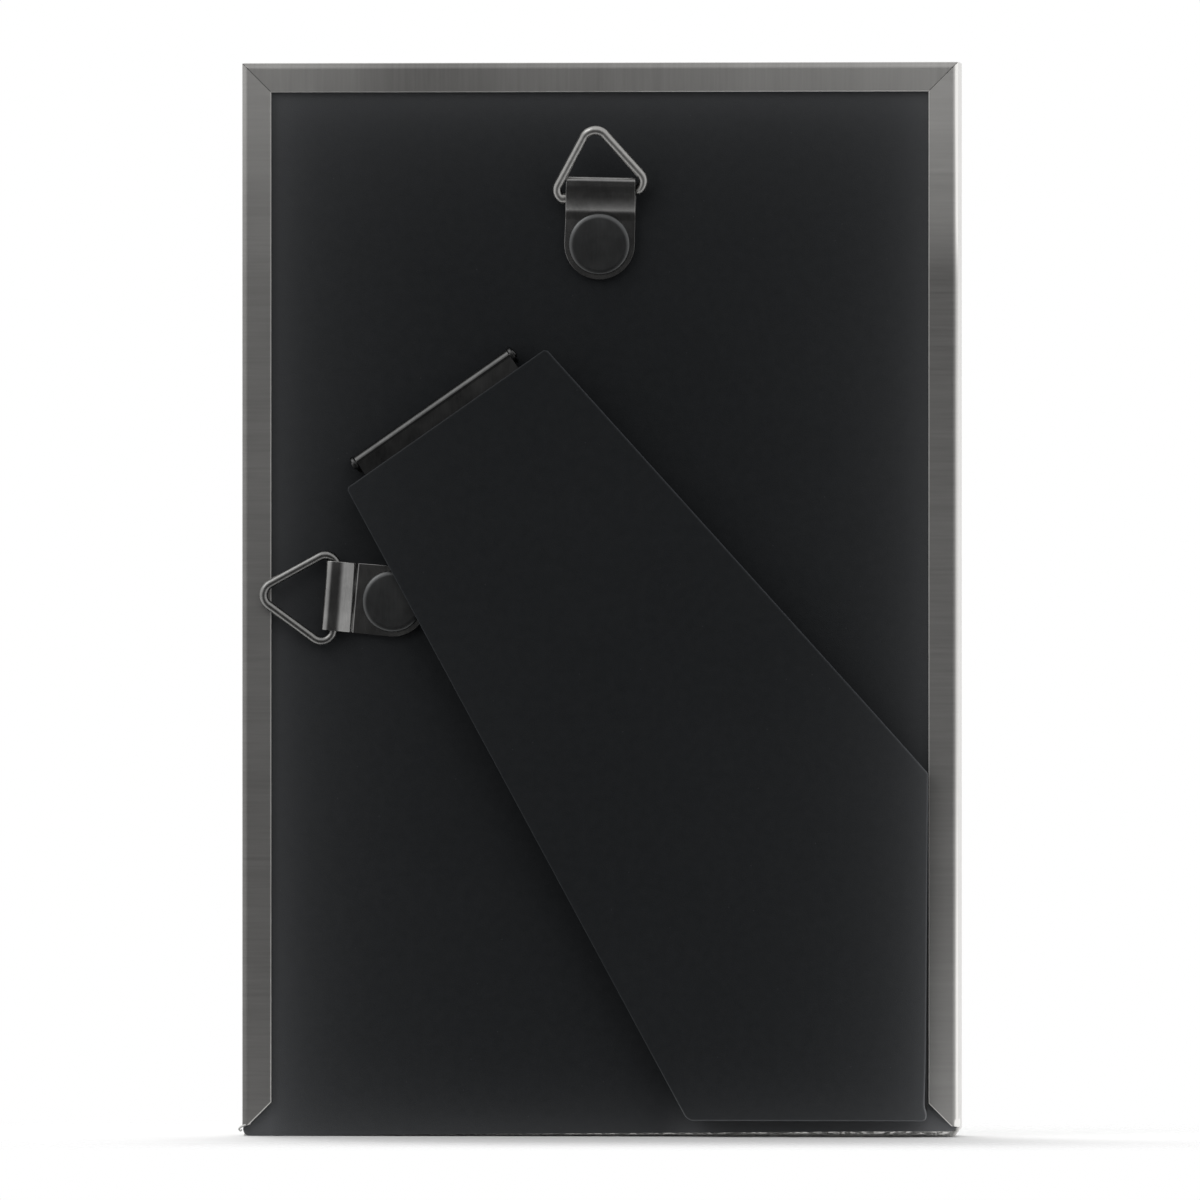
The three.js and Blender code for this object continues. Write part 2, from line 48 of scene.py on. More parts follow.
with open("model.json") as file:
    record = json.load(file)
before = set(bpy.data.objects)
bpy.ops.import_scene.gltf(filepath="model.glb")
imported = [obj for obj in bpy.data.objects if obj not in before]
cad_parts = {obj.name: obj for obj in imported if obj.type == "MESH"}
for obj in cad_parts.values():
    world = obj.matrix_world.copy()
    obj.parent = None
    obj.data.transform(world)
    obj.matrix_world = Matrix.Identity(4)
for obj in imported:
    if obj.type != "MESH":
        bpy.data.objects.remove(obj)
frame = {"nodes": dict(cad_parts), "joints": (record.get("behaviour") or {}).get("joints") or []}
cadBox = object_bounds()

mm = 0.001
quarter = math.pi / 2
weld = 0.0005 * mm  # corners closer than this are one
halfWidth = cadBox[1].x
halfHeight = cadBox[1].z / 2
joints = {joint["name"]: joint for joint in frame["joints"]}

print("frame loaded, nodes:", len(frame["nodes"]))


# A socket that can be written in sums, with numbers or other signals on either side.
class Signal:
    def __init__(self, graph, socket):
        self.graph = graph
        self.socket = socket

    def math(self, operation, first, second=0):
        return self.graph.node("Math", {"operation": operation}, {0: first, 1: second})

    def __add__(self, other):
        return self.math("ADD", self, other)

    def __radd__(self, other):
        return self.math("ADD", other, self)

    def __sub__(self, other):
        return self.math("SUBTRACT", self, other)

    def __rsub__(self, other):
        return self.math("SUBTRACT", other, self)

    def __mul__(self, other):
        return self.math("MULTIPLY", self, other)

    def __rmul__(self, other):
        return self.math("MULTIPLY", other, self)

    def __truediv__(self, other):
        return self.math("DIVIDE", self, other)

    def __rtruediv__(self, other):
        return self.math("DIVIDE", other, self)

    def above(self, other):
        return self.math("GREATER_THAN", self, other)

    def largest(self, other):
        return self.math("MAXIMUM", self, other)

    def size(self):
        return self.math("ABSOLUTE", self)

    def decay(self, reach):  # 1 at zero, falling off over the reach
        return self.math("POWER", math.exp(-1), self / reach)


# A node tree, with one way to add any node to it.
class Graph:
    def __init__(self, tree):
        self.tree = tree

    def node(self, kind, settings, sockets, output=0):
        fresh = self.tree.nodes.new("ShaderNode" + kind)
        for key, value in settings.items():
            setattr(fresh, key, value)
        for key, value in sockets.items():
            self.feed(fresh.inputs[key], value)
        return Signal(self, fresh.outputs[output])

    def feed(self, socket, value):
        if isinstance(value, Signal):
            self.tree.links.new(value.socket, socket)
        else:
            socket.default_value = value

    def eased(self, value, low, high, start=0.0, end=1.0):
        return self.node("MapRange", {"interpolation_type": "SMOOTHSTEP"}, {
            "Value": value, "From Min": low, "From Max": high, "To Min": start, "To Max": end,
        })


# A material on a Principled shader. What is the same all over goes straight on its sockets.
class Finish(Graph):
    def __init__(self, name, **constants):
        self.material = bpy.data.materials.new(name)
        self.material.use_nodes = True
        super().__init__(self.material.node_tree)
        self.shader = self.tree.nodes["Principled BSDF"]
        for socket, value in constants.items():
            self.shader.inputs[socket.replace("_", " ")].default_value = value
        self.place = self.node("TexCoord", {}, {}, "Object")

    def axis(self, name):
        return self.node("SeparateXYZ", {}, {0: self.place}, name)

    def noise(self, scale, detail=3, roughness=0.5, stretch=(1, 1, 1)):
        at = self.node("Mapping", {}, {"Vector": self.place, "Scale": stretch})
        return self.node("TexNoise", {}, {
            "Vector": at, "Scale": scale, "Detail": detail, "Roughness": roughness,
        })

    def tint(self, dark, light, amount):
        return self.node("Mix", {"data_type": "RGBA"}, {
            "Factor": amount, 6: (*dark, 1), 7: (*light, 1),
        }, 2)

    def paint(self, **sockets):
        for key, value in sockets.items():
            self.feed(self.shader.inputs[key.replace("_", " ")], value)

    def relief(self, height, depth):
        bump = self.node("Bump", {}, {"Height": height, "Distance": depth})
        self.feed(self.shader.inputs["Normal"], bump)

    # 0 on one side of a span, which is given in mm, and 1 on the other.
    def across(self, value, span):
        return self.eased(value, span[0] * mm, span[1] * mm)

    # Follows a few levels along an axis, smoothly, each given as (place in mm, level).
    def along(self, axis, levels):
        at = self.axis(axis)
        total = levels[0][1]
        for (start, before), (end, after) in zip(levels, levels[1:]):
            total = total + self.eased(at, start * mm, end * mm, 0.0, after - before)
        return total


# Places and depths that stand in brackets are in mm.
brushed = {
    "dark": (0.03, 0.029, 0.028), "light": (0.9, 0.888, 0.864), "fine": 2600, "broad": 60, "pull": 0.04,
    "lines": 0.08, "bands": 0.065, "cloud": 0.04, "rough": 0.4, "relief": 0.004 * mm,
    "flange": 4.3 * mm, "footRise": 0.6 * mm,
    # The tone along each rail, as (place, level): a painted reflection, lighter and darker along the rail as the
    # light fell on it.
    "top": [
        (-48, 0.498), (-30, 0.416), (-15, 0.371), (5, 0.314), (20, 0.257), (30, 0.265), (38, 0.355), (48, 0.408),
    ],
    "left": [
        (4, 0.416), (22, 0.408), (40, 0.343), (60, 0.273), (100, 0.269), (122, 0.233), (135, 0.449), (151, 0.596),
    ],
    "right": [
        (6, 0.175), (20, 0.211), (40, 0.214), (60, 0.237), (100, 0.265), (122, 0.286), (135, 0.359), (151, 0.465),
    ],
    "foot": [(-50, 0.408), (50, 0.326)],
    # The fold's tone against the flange's, a painted highlight on some rails and painted shade on others, and the
    # depths between which it sets in. Then the outer wall's tone, a painted reflection that is lighter on one side.
    "fold": {"top": (0.72, 1.1, 0.7), "left": (2.8, 0.6, 0.1), "right": (0.76, 1.1, 0.7), "foot": (1.7, 0.8, 0.3)},
    "wall": {"top": 0.6, "left": 0.8, "right": 0.6, "foot": 0.6}, "wallDepth": (0.12, 0.03), "lipFace": (-6.6, -7.6),
    # Lighter cut edges: bare metal there, with a painted highlight along them, and a painted highlight at the heel
    # of one side rail's foot.
    "bare": 0.9, "bareEdge": 0.2 * mm, "bareEase": 0.12 * mm, "heelIn": (0.7, 0.4), "heelUp": (2.8, 1.9),
    "behind": (-3, -1.3),
    # The scraped foot: where it starts, where a painted highlight grows towards one end, where it ends in a painted
    # highlight at the tip, and where it needs a polish to look bright in the panel's slot.
    "scrape": 3.5, "scrapeLevel": (0.36, 0.54), "scraped": (-1.6, -1.45), "worn": (-20, -48), "tip": (-50.9, -51.5),
    "under": (-50.8, -50.2),
}


def brushedPewter(rail, axis, bare, depth):
    f = Finish("brushed pewter, " + rail, Metallic=1.0)
    pull = brushed["pull"]  # the lines run across the rail
    stretch = (1, pull, pull) if axis == "X" else (pull, pull, 1)
    lines = f.noise(brushed["fine"], 2, 0.6, stretch)
    bands = f.noise(brushed["fine"] / 10, 3, 0.5, stretch)
    cloud = f.noise(brushed["broad"], 2)
    edge, grain, polish = bare(f)
    # The fold and the outer wall get painted light: their tones stand in for how light fell on each rail.
    paintedFoldLight, start, full = brushed["fold"][rail]
    wall = f.across(depth(f), brushed["wallDepth"]).largest(f.across(f.axis("Y"), brushed["lipFace"]))
    # The tone along the rail is a painted reflection.
    tone = f.along(axis, brushed[rail]) * f.eased(depth(f), start * mm, full * mm, 1.0, paintedFoldLight)
    tone = tone * (1 - wall) + wall * brushed["wall"][rail]
    tone = tone + (lines - 0.5) * brushed["lines"] + (bands - 0.5) * brushed["bands"]
    tone = tone + (cloud - 0.5) * brushed["cloud"]
    f.paint(Base_Color=f.tint(brushed["dark"], brushed["light"], tone + edge * brushed["bare"]))
    f.paint(Roughness=brushed["rough"] + lines * 0.08 + cloud * 0.05 - edge * 0.1 - polish * 0.32)
    f.relief(lines + bands * 0.6 + grain, brushed["relief"])
    return f.material


# How deep a point lies under the outside of the frame, at its ends and at its sides.
def endDepth(f):
    return halfHeight - (f.axis("Z") - halfHeight).size()


def sideDepth(f):
    return halfWidth - f.axis("X").size()


# Each of these gives the lighter edge, bare metal with a painted highlight, the extra grain and the polish.
def endEdge(f):
    inner = 2 * halfHeight - brushed["flange"] + brushed["bareEdge"]
    return f.eased(f.axis("Z"), inner, inner - brushed["bareEase"]), 0, 0


def sideEdge(f):
    # The inner edge and the foot cut are lighter, bare metal with a painted highlight; the heel is a painted
    # highlight; all on the rear only.
    across = f.axis("X").size()
    inner = f.eased(across, halfWidth - brushed["flange"] + brushed["bareEdge"], halfWidth - brushed["flange"])
    cut = across + f.axis("Z") - halfWidth - brushed["footRise"]
    foot = f.eased(cut, brushed["bareEdge"] * 1.5, 0)
    heel = f.across(f.axis("X") + halfWidth, brushed["heelIn"]) * f.across(f.axis("Z"), brushed["heelUp"])
    return inner.largest(foot).largest(heel) * f.across(f.axis("Y"), brushed["behind"]), 0, 0


def footEdge(f):  # the scraped edge of the bottom rail, with a painted highlight that grows towards one end and at its tip
    scrape = f.eased(f.noise(900, 4, 0.7, (1, 1, 3)), *brushed["scrapeLevel"])
    edge = f.across(f.axis("Y"), brushed["scraped"])
    # worn and tip paint a highlight on this edge, which the panel's slot shades; the scrape marks are wear.
    worn, under, tip = (f.across(f.axis("X"), brushed[name]) for name in ("worn", "under", "tip"))
    bare = edge * (scrape * (0.8 - worn * 0.4) + worn * 0.6)
    return bare.largest(tip), edge * scrape * brushed["scrape"], edge * under


velvet = {
    "dark": (0.0085, 0.0095, 0.0105), "light": (0.19, 0.194, 0.202), "level": 0.49, "base": 0.06,
    "pile": 7000, "mottle": 700, "cloud": 38, "specks": 380, "speckSize": 0.03, "relief": 0.03 * mm,
    # Painted light on the pile: a wide glow and a narrow line along the flanges, and a lighter band along the foot.
    "flange": 4.2 * mm, "glow": 9 * mm, "glowLevel": 0.27, "line": 2.2 * mm, "lineLevel": 0.24,
    # The painted light along the foot fades upward; a painted lit patch lies under the leg and in one corner, where
    # the leg's shade falls.
    "footLightReach": 4.3 * mm, "litUnderLeg": (-8, -16), "corner": (-30, -46), "cornerLitLevel": 0.6,
    # Per piece: painted light along the foot and on the lit patch, and a painted highlight on the rims, stronger at
    # the foot.
    "panel": {"foot": 0.33, "paintedLitPatch": 0.8, "rim": 0.14, "rimFoot": 0.8},
    "leg": {"foot": 0.2, "paintedLitPatch": 0.06, "rim": 0.2, "rimFoot": 2.2},
}


def flockedBlack(piece):
    own = velvet[piece]
    f = Finish(
        "black flocked paper, " + piece, Metallic=0.0, Specular_IOR_Level=0.06,
        Sheen_Weight=0.06, Sheen_Roughness=0.5, Sheen_Tint=(0.8, 0.9, 1.0, 1),
    )
    pile = f.noise(velvet["pile"], 2, 0.7)
    mottle = f.noise(velvet["mottle"], 3, 0.6)
    cloud = f.noise(velvet["cloud"], 2)
    specks = f.node("TexVoronoi", {"feature": "F1"}, {"Vector": f.place, "Scale": velvet["specks"]}, "Distance")
    dust = 1 - specks.above(velvet["speckSize"])
    rim = f.node("Attribute", {"attribute_name": "rim"}, {}, "Fac")
    # Painted light near the flanges: a wide glow and a narrow line, fading inward.
    inward = (halfWidth - velvet["flange"] - f.axis("X").size()).largest(0)
    downward = (2 * halfHeight - velvet["flange"] - f.axis("Z")).largest(0)
    paintedEdgeGlow = (inward.decay(velvet["glow"]) + downward.decay(velvet["glow"])) * velvet["glowLevel"]
    paintedEdgeGlow = paintedEdgeGlow + (inward.decay(velvet["line"]) + downward.decay(velvet["line"])) * velvet["lineLevel"]
    # Painted light: lighter along the foot, and a painted lit patch under the leg and in one corner, where the leg's
    # shade falls.
    foot = f.axis("Z").decay(velvet["footLightReach"])
    paintedLitPatch = f.across(f.axis("X"), velvet["litUnderLeg"])
    paintedLitPatch = paintedLitPatch + f.across(f.axis("X"), velvet["corner"]) * velvet["cornerLitLevel"]
    tone = velvet["base"] + (pile - 0.5) * 0.08 + (mottle - 0.5) * 0.08 + (cloud - 0.5) * 0.04
    tone = tone + paintedEdgeGlow + foot * (own["foot"] + paintedLitPatch * own["paintedLitPatch"])
    # Dust specks are real; the rim term is a painted highlight on the rims, stronger along the foot.
    tone = tone + dust * 0.2 + rim * (own["rim"] + foot * own["rimFoot"])
    f.paint(Base_Color=f.tint(velvet["dark"], velvet["light"], tone * velvet["level"]))
    f.paint(Roughness=0.82 + mottle * 0.15)
    f.relief(pile + mottle * 0.6, velvet["relief"])
    return f.material


# Smudged and finely scratched, and lighter at its bends and edges: wear there, and a painted highlight.
def platedMetal(name, dark, light, rough, scuffs=260, worn=0.0):
    f = Finish(name, Metallic=1.0)
    smudge = f.noise(scuffs, 3, 0.6)
    scratch = f.noise(3200, 2, 0.6, (1, 1, 0.15))
    # The rim attribute lightens the bends: wear there, and a painted highlight.
    bendWearAndHighlight = f.node("Attribute", {"attribute_name": "rim"}, {}, "Fac")
    f.paint(Base_Color=f.tint(dark, light, smudge * 0.5 + scratch * 0.2 - 0.1 + bendWearAndHighlight * worn))
    f.paint(Roughness=rough + smudge * 0.1 + scratch * 0.04)
    f.relief(smudge, 0.004 * mm)
    return f.material


def pressedBoard(name, dark, light):
    f = Finish(name, Metallic=0.0)
    fibre = f.noise(1400, 4, 0.65)
    blotch = f.noise(140, 3)
    f.paint(Base_Color=f.tint(dark, light, fibre * 0.6 + blotch * 0.4))
    f.paint(Roughness=0.8 + fibre * 0.15)
    f.relief(fibre, 0.05 * mm)
    return f.material


def clearGlass(name):
    f = Finish(name, Metallic=0.0, Transmission_Weight=1.0, IOR=1.5)
    smear = f.noise(30, 2)
    f.paint(Base_Color=f.tint((0.97, 0.985, 0.98), (0.985, 0.995, 0.99), smear))
    f.paint(Roughness=0.005 + smear * 0.02)
    return f.material


# One brushed pewter in four lit and shaded copies, one per rail, each with its own painted reflection.
pewterTop = brushedPewter("top", "X", endEdge, endDepth)
pewterLeft = brushedPewter("left", "Z", sideEdge, sideDepth)
pewterRight = brushedPewter("right", "Z", sideEdge, sideDepth)
pewterFoot = brushedPewter("foot", "X", footEdge, endDepth)
# Lit and shaded copies of one flocked paper, with their painted light set per piece.
panelVelvet = flockedBlack("panel")
legVelvet = flockedBlack("leg")
# One plated wire in two tones, one per ring: a lit copy and a shaded copy, painted light and painted shade.
litPlatedWire = platedMetal("plated wire, painted light", (0.27, 0.268, 0.262), (0.6, 0.59, 0.57), 0.24, 1500)
shadedPlatedWire = platedMetal("plated wire, painted shade", (0.16, 0.16, 0.157), (0.40, 0.395, 0.385), 0.2, 1500)
# The strap's and the hinge's bends are lighter by the rim attribute: wear there, and a painted highlight.
darkNickel = platedMetal("dark nickel", (0.1, 0.1, 0.1), (0.5, 0.495, 0.485), 0.14, worn=0.65)
blackNickel = platedMetal("black nickel", (0.068, 0.07, 0.071), (0.17, 0.172, 0.173), 0.24)
scrapedMetal = platedMetal("scraped metal", (0.42, 0.42, 0.41), (0.66, 0.66, 0.65), 0.3)
hingeSteel = platedMetal("black hinge steel", (0.012, 0.0125, 0.013), (0.17, 0.17, 0.168), 0.22, worn=0.55)
greyBoard = pressedBoard("grey board", (0.30, 0.28, 0.25), (0.42, 0.40, 0.36))
liningPaper = pressedBoard("lining paper", (0.022, 0.022, 0.023), (0.040, 0.040, 0.041))
brownCard = pressedBoard("brown card", (0.36, 0.26, 0.16), (0.48, 0.36, 0.23))
printPaper = pressedBoard("print paper", (0.86, 0.855, 0.84), (0.9, 0.895, 0.88))
paneGlass = clearGlass("pane glass")

# These solids stay as they are.
carriedOver = {
    "glass_pane": paneGlass, "photo_insert": printPaper, "filler_card": brownCard,
    "backing_board": greyBoard, "backing_liner": liningPaper, "leg_liner": liningPaper,
    "top_hanger_washer": hingeSteel, "side_hanger_washer": hingeSteel,
}
for nodeName, finish in carriedOver.items():
    slots = frame["nodes"][nodeName].data.materials
    slots.clear()
    slots.append(finish)

print("materials made:", len(bpy.data.materials))


def shaded(mesh, angle):
    mesh.polygons.foreach_set("use_smooth", [True] * len(mesh.polygons))
    mesh.set_sharp_from_angle(angle=math.radians(angle))


def made(name, bm, finish, angle=40):
    bmesh.ops.remove_doubles(bm, verts=bm.verts[:], dist=weld)
    mesh = bpy.data.meshes.new(name)
    bm.to_mesh(mesh)
    bm.free()
    piece = bpy.data.objects.new(name, mesh)
    bpy.context.scene.collection.objects.link(piece)
    mesh.materials.append(finish)
    shaded(mesh, angle)
    return piece


# Adds a modifier and applies it at once.
def worked(piece, kind, **settings):
    modifier = piece.modifiers.new(kind.lower(), kind)
    for key, value in settings.items():
        setattr(modifier, key, value)
    bpy.context.view_layer.update()
    result = piece.evaluated_get(bpy.context.evaluated_depsgraph_get())
    mesh = bpy.data.meshes.new_from_object(result)
    piece.modifiers.clear()
    piece.data = mesh
    bm = bmesh.new()
    bm.from_mesh(mesh)
    bmesh.ops.remove_doubles(bm, verts=bm.verts[:], dist=weld)
    bmesh.ops.dissolve_degenerate(bm, edges=bm.edges[:], dist=weld)
    bm.to_mesh(mesh)
    bm.free()
    shaded(mesh, 40)
    return piece


def carved(piece, cutter, operation="DIFFERENCE"):
    worked(piece, "BOOLEAN", operation=operation, solver="EXACT", object=cutter)
    bpy.data.objects.remove(cutter)


def softened(piece, width, segments=2, angle=30):
    return worked(
        piece, "BEVEL", width=width, segments=segments, limit_method="ANGLE",
        angle_limit=math.radians(angle), use_clamp_overlap=True,
    )


def dressed(piece, body, slot, *nodes):
    modifier = piece.modifiers.new("even shading", "WEIGHTED_NORMAL")
    modifier.keep_sharp = True
    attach(piece, body)
    if nodes:
        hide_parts(*nodes)
    return piece


def movedVerts(grown):
    return [item for item in grown["geom"] if isinstance(item, bmesh.types.BMVert)]


# A closed prism from an outline in X and Z, between two depths.
def prism(corners, front, back):
    bm = bmesh.new()
    face = bm.faces.new([bm.verts.new((x, front, z)) for x, z in corners])
    pulled = bmesh.ops.extrude_face_region(bm, geom=[face])
    bmesh.ops.translate(bm, verts=movedVerts(pulled), vec=(0, back - front, 0))
    bmesh.ops.recalc_face_normals(bm, faces=bm.faces[:])
    return bm


# Rounds the edges of a prism that run in depth, each by its own radius.
def roundCorners(bm, corners, radii):
    for (x, z), radius in zip(corners, radii):
        edges = [
            edge for edge in bm.edges
            if abs(edge.verts[0].co.y - edge.verts[1].co.y) > mm / 100
            and all(abs(v.co.x - x) < mm / 100 and abs(v.co.z - z) < mm / 100 for v in edge.verts)
        ]
        bmesh.ops.bevel(
            bm, geom=edges, offset=radius, offset_type="OFFSET", segments=6,
            profile=0.5, affect="EDGES", material=-1,
        )


# An open chain of points in Y and Z, pulled along X into a sheet, with its folds rounded.
def pulledChain(points, width, folds):
    bm = bmesh.new()
    verts = [bm.verts.new((-width / 2, y, z)) for y, z in points]
    chain = [bm.edges.new(pair) for pair in zip(verts, verts[1:])]
    pulled = bmesh.ops.extrude_edge_only(bm, edges=chain)
    bmesh.ops.translate(bm, verts=movedVerts(pulled), vec=(width, 0, 0))
    for (y, z), reach in folds:
        edges = [
            edge for edge in bm.edges
            if all(abs(v.co.y - y) < mm / 1000 and abs(v.co.z - z) < mm / 1000 for v in edge.verts)
        ]
        bmesh.ops.bevel(
            bm, geom=edges, offset=reach, offset_type="OFFSET", segments=8,
            profile=0.5, affect="EDGES", material=-1,
        )
    return bm


# A profile of (radius, height) points, turned about Y into a closed body.
def turned(profile, steps):
    bm = bmesh.new()
    verts = [bm.verts.new((radius, height, 0)) for radius, height in profile]
    for pair in zip(verts, verts[1:]):
        bm.edges.new(pair)
    bmesh.ops.spin(
        bm, geom=bm.verts[:] + bm.edges[:], cent=(0, 0, 0), axis=(0, 1, 0),
        angle=2 * math.pi, steps=steps, use_merge=True,
    )
    bmesh.ops.remove_doubles(bm, verts=bm.verts[:], dist=weld)
    bmesh.ops.recalc_face_normals(bm, faces=bm.faces[:])
    return bm


# A copy of a solid from the frame, merged, with its edges softened.
def refined(node, name, body, slot, finish, edge):
    bm = bmesh.new()
    bm.from_mesh(frame["nodes"][node].data)
    bmesh.ops.transform(bm, matrix=frame["nodes"][node].matrix_world, verts=bm.verts[:])
    bmesh.ops.remove_doubles(bm, verts=bm.verts[:], dist=2 * weld)
    bmesh.ops.dissolve_limit(bm, angle_limit=math.radians(1), verts=bm.verts[:], edges=bm.edges[:])
    piece = softened(made(name, bm, finish), edge)
    return dressed(piece, body, slot, node)


rails = {
    "sheet": 0.6 * mm, "fold": 0.98 * mm, "mitreGap": 0.015 * mm, "edge": 0.18 * mm, "wallFoot": 1.5 * mm,
    "lip": 0.28 * mm, "overhang": 0.018 * mm,  # the bottom rail's edge rises towards one end and leans out a little
    "cut": [(-50.9, -0.2), (-52, 1.25), (-53, 1.25), (-53, -0.2)],  # through one lower corner, in mm
    "cutRails": ("rail_bottom", "rail_left"),
}


# A rail is made along X with its outside at the bottom, cut to its mitres, and turned into its place.
def makeRail(node, turn, reach, length, hasFlange, finish):
    topLow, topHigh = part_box("rail_top")
    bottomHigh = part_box("rail_bottom")[1]
    front, back = topLow.y, topHigh.y
    width = topHigh.z - topLow.z  # of the rear flange
    sheet = rails["sheet"]
    chain = [(front, bottomHigh.z), (front, 0), (bottomHigh.y, 0)]
    folds = [((front, 0), rails["fold"])]
    if hasFlange:
        chain[2:] = [(back, 0), (back, width)]
        folds.append(((back, 0), rails["fold"]))
    bm = pulledChain(chain, length, folds)
    bmesh.ops.solidify(bm, geom=bm.faces[:], thickness=-sheet)
    for side in (-1, 1):
        cut = bmesh.ops.bisect_plane(
            bm, geom=bm.verts[:] + bm.edges[:] + bm.faces[:], dist=mm / 10000,
            plane_co=(side * (length / 2 - rails["mitreGap"]), 0, 0), plane_no=(side, 0, 1), clear_outer=True,
        )
        rim = [item for item in cut["geom_cut"] if isinstance(item, bmesh.types.BMEdge)]
        bmesh.ops.contextual_create(bm, geom=rim)
    place = (
        Matrix.Translation((0, 0, halfHeight)) @ Matrix.Rotation(turn, 4, "Y")
        @ Matrix.Translation((0, 0, -reach))
    )
    bmesh.ops.transform(bm, matrix=place, verts=bm.verts[:])
    bmesh.ops.recalc_face_normals(bm, faces=bm.faces[:])
    piece = made(node.replace("_", "-") + "-sheet", bm, finish)
    if not hasFlange:
        for vert in piece.data.vertices:
            if vert.co.y > bottomHigh.y - mm / 100 and vert.co.z > sheet / 2:
                vert.co.z += rails["lip"] * (0.5 - vert.co.x / length)
                vert.co.y += rails["overhang"]
    if hasFlange and abs(math.sin(turn)) > 0.5:
        side = -1 if turn > 0 else 1
        rise = brushed["footRise"]
        foot = rails["wallFoot"]
        wedge = prism([
            (side * (halfWidth + mm), foot - mm / 10), (side * (halfWidth + mm), -2 * mm),
            (side * (halfWidth - width - mm), -2 * mm), (side * (halfWidth - width - mm), rise + width + mm),
            (side * (halfWidth + rise - foot - mm / 10), foot + mm / 10),
        ], bottomHigh.y, back + mm)
        carved(piece, made("wedge", wedge, finish))
    if node in rails["cutRails"]:
        corner = prism([(x * mm, z * mm) for x, z in rails["cut"]], front - mm, back + mm)
        carved(piece, made("corner", corner, finish))
    softened(piece, rails["edge"] if hasFlange else rails["edge"] / 2)
    return dressed(piece, "surround", "pewter", node)


makeRail("rail_bottom", 0, halfHeight, 2 * halfWidth, False, pewterFoot)
makeRail("rail_top", 2 * quarter, halfHeight, 2 * halfWidth, True, pewterTop)
makeRail("rail_left", quarter, halfWidth, 2 * halfHeight, True, pewterLeft)
makeRail("rail_right", -quarter, halfWidth, 2 * halfHeight, True, pewterRight)

burr = {
    "path": [(50.6, 1.84), (51.2, 1.7), (51.75, 1.5), (52.3, 1.24), (52.46, 0.92), (52.2, 0.7), (51.95, 0.92)],
    "sheet": 0.36 * mm, "depth": 0.5 * mm, "inset": 0.05 * mm,
}


# The thin tongue that curls out at the foot of one side flange.
def makeBurr():
    bm = bmesh.new()
    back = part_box("rail_right")[1].y - burr["inset"]
    verts = [bm.verts.new((x * mm, back, z * mm)) for x, z in burr["path"]]
    chain = [bm.edges.new(pair) for pair in zip(verts, verts[1:])]
    pulled = bmesh.ops.extrude_edge_only(bm, edges=chain)
    bmesh.ops.translate(bm, verts=movedVerts(pulled), vec=(0, -burr["depth"], 0))
    piece = made("foot-burr", bm, scrapedMetal)
    worked(piece, "SOLIDIFY", thickness=burr["sheet"], offset=0)
    worked(piece, "SUBSURF", levels=2, render_levels=2)
    return dressed(piece, "surround", "pewter")


makeBurr()
print("rails made")

panel = {
    "turnIn": 9 * mm, "cover": 0.3 * mm, "soft": 0.22 * mm, "footHigh": 0.9 * mm, "footLow": 0.02 * mm,
    # One corner spreads below the foot of the wall, and so does the other, to a point.
    "flare": 0.72 * mm, "flareTop": 1.36 * mm, "flareSlope": 0.1 * mm,
    "tip": 0.45 * mm, "tipLow": 1.28 * mm, "tipHigh": 1.42 * mm, "tipSlope": 0.15 * mm, "tipFoot": 0.89 * mm,
    "radii": (0.1, 0.95, 0.2, 0.1, 0.7, 0.7),  # of the first corners, in mm
}


# Marks, as the rim attribute, where a surface turns round an edge; the materials paint a highlight there.
def markRim(piece, power=1):
    mesh = piece.data
    rim = mesh.attributes.new("rim", "FLOAT", "POINT")
    rim.data.foreach_set("value", [min(1, 2 * (1 - abs(v.normal.y))) ** power for v in mesh.vertices])
    return piece


# The panel's outline, drawn in on all sides.
def shrunk(corners, inset):
    return [(x - math.copysign(inset, x), z + math.copysign(inset, halfHeight - z)) for x, z in corners]


def makePanel():
    low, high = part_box("backing_cover")
    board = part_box("backing_board")
    corners = [(low.x, panel["footHigh"]), (high.x, panel["footLow"]), (high.x, high.z), (low.x, high.z)]
    spread = high.x + panel["flare"]
    flared = [
        (low.x, panel["tipFoot"]), (spread, panel["footLow"]), (spread, panel["flareTop"]),
        (high.x, panel["flareTop"] + panel["flareSlope"]), corners[2], corners[3],
        (low.x, panel["tipHigh"] + panel["tipSlope"]), (low.x - panel["tip"], panel["tipHigh"]),
        (low.x - panel["tip"], panel["tipLow"]),
    ]
    bm = prism(flared, low.y, high.y)
    roundCorners(bm, flared, [radius * mm for radius in panel["radii"]])
    piece = made("panel-velvet", bm, panelVelvet)
    room = prism(shrunk(corners, panel["cover"]), board[0].y, board[1].y)
    carved(piece, made("room", room, panelVelvet))
    opening = prism(shrunk(corners, panel["turnIn"]), low.y - mm, board[0].y + mm / 2)
    carved(piece, made("opening", opening, panelVelvet))
    softened(piece, panel["soft"], 4)
    return dressed(markRim(piece), "panel", "flock", "backing_cover")


leg = {
    "near": 16.8 * mm, "far": 18.4 * mm, "drop": 2.25 * mm,  # the top corners along and below the hinge line
    "flareNear": 6.5, "flareFar": 7.2,  # how far its long sides turn from square, in degrees
    "worn": 7 * mm, "sag": 0.1 * mm,  # one long side bends down a little near the flange
    "trim": 0.18 * mm, "slant": [(26, 0.22), (11.5, 0.34), (4.4, 0.52)],  # the upright side: (height, inset) in mm
    "pinch": 0.3 * mm, "pinchUp": 1.1 * mm, "soft": 0.3 * mm,
    "radii": [0.9, 0.5, 0.5, 0.5, 0.1, 0.5, 0.5, 0.5, 0.5, 0.5],  # of its corners, in mm
}


